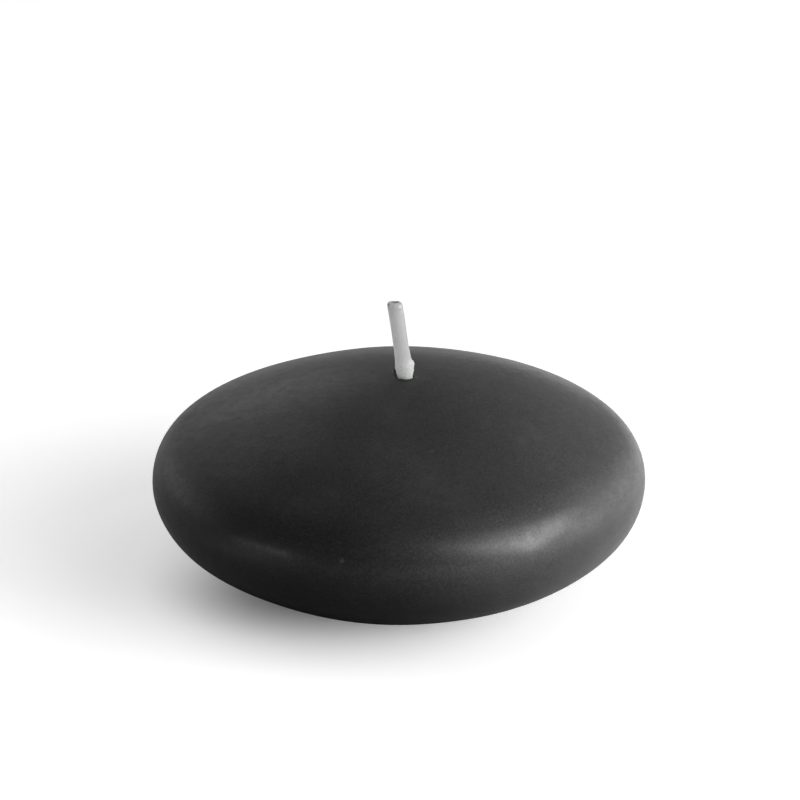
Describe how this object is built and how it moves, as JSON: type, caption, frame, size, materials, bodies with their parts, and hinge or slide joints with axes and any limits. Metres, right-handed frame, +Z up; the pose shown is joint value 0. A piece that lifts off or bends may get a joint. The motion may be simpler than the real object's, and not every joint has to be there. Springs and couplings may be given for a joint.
{
  "type": "floating candle",
  "caption": "Lens-shaped floating candle of black wax with a flat foot and a short leaning wick, which a pressed steel tab holds from below.",
  "frame": {"origin": "middle of the flat foot, on the body's axis", "axes": "+Z up along the body's axis; the wick leans towards -X; the camera of the picture looks from -Y"},
  "size_m": [0.08, 0.08, 0.0473],
  "materials": {
    "wax": "satin black candle wax, dyed through",
    "wick": "white braided cotton under a film of pale wax",
    "steel": "pressed tinned sheet, bright"
  },
  "bodies": {
    "root": {"wax_body": "wax", "wick": "wick", "wick_tab": "steel"}
  },
  "joints": []
}
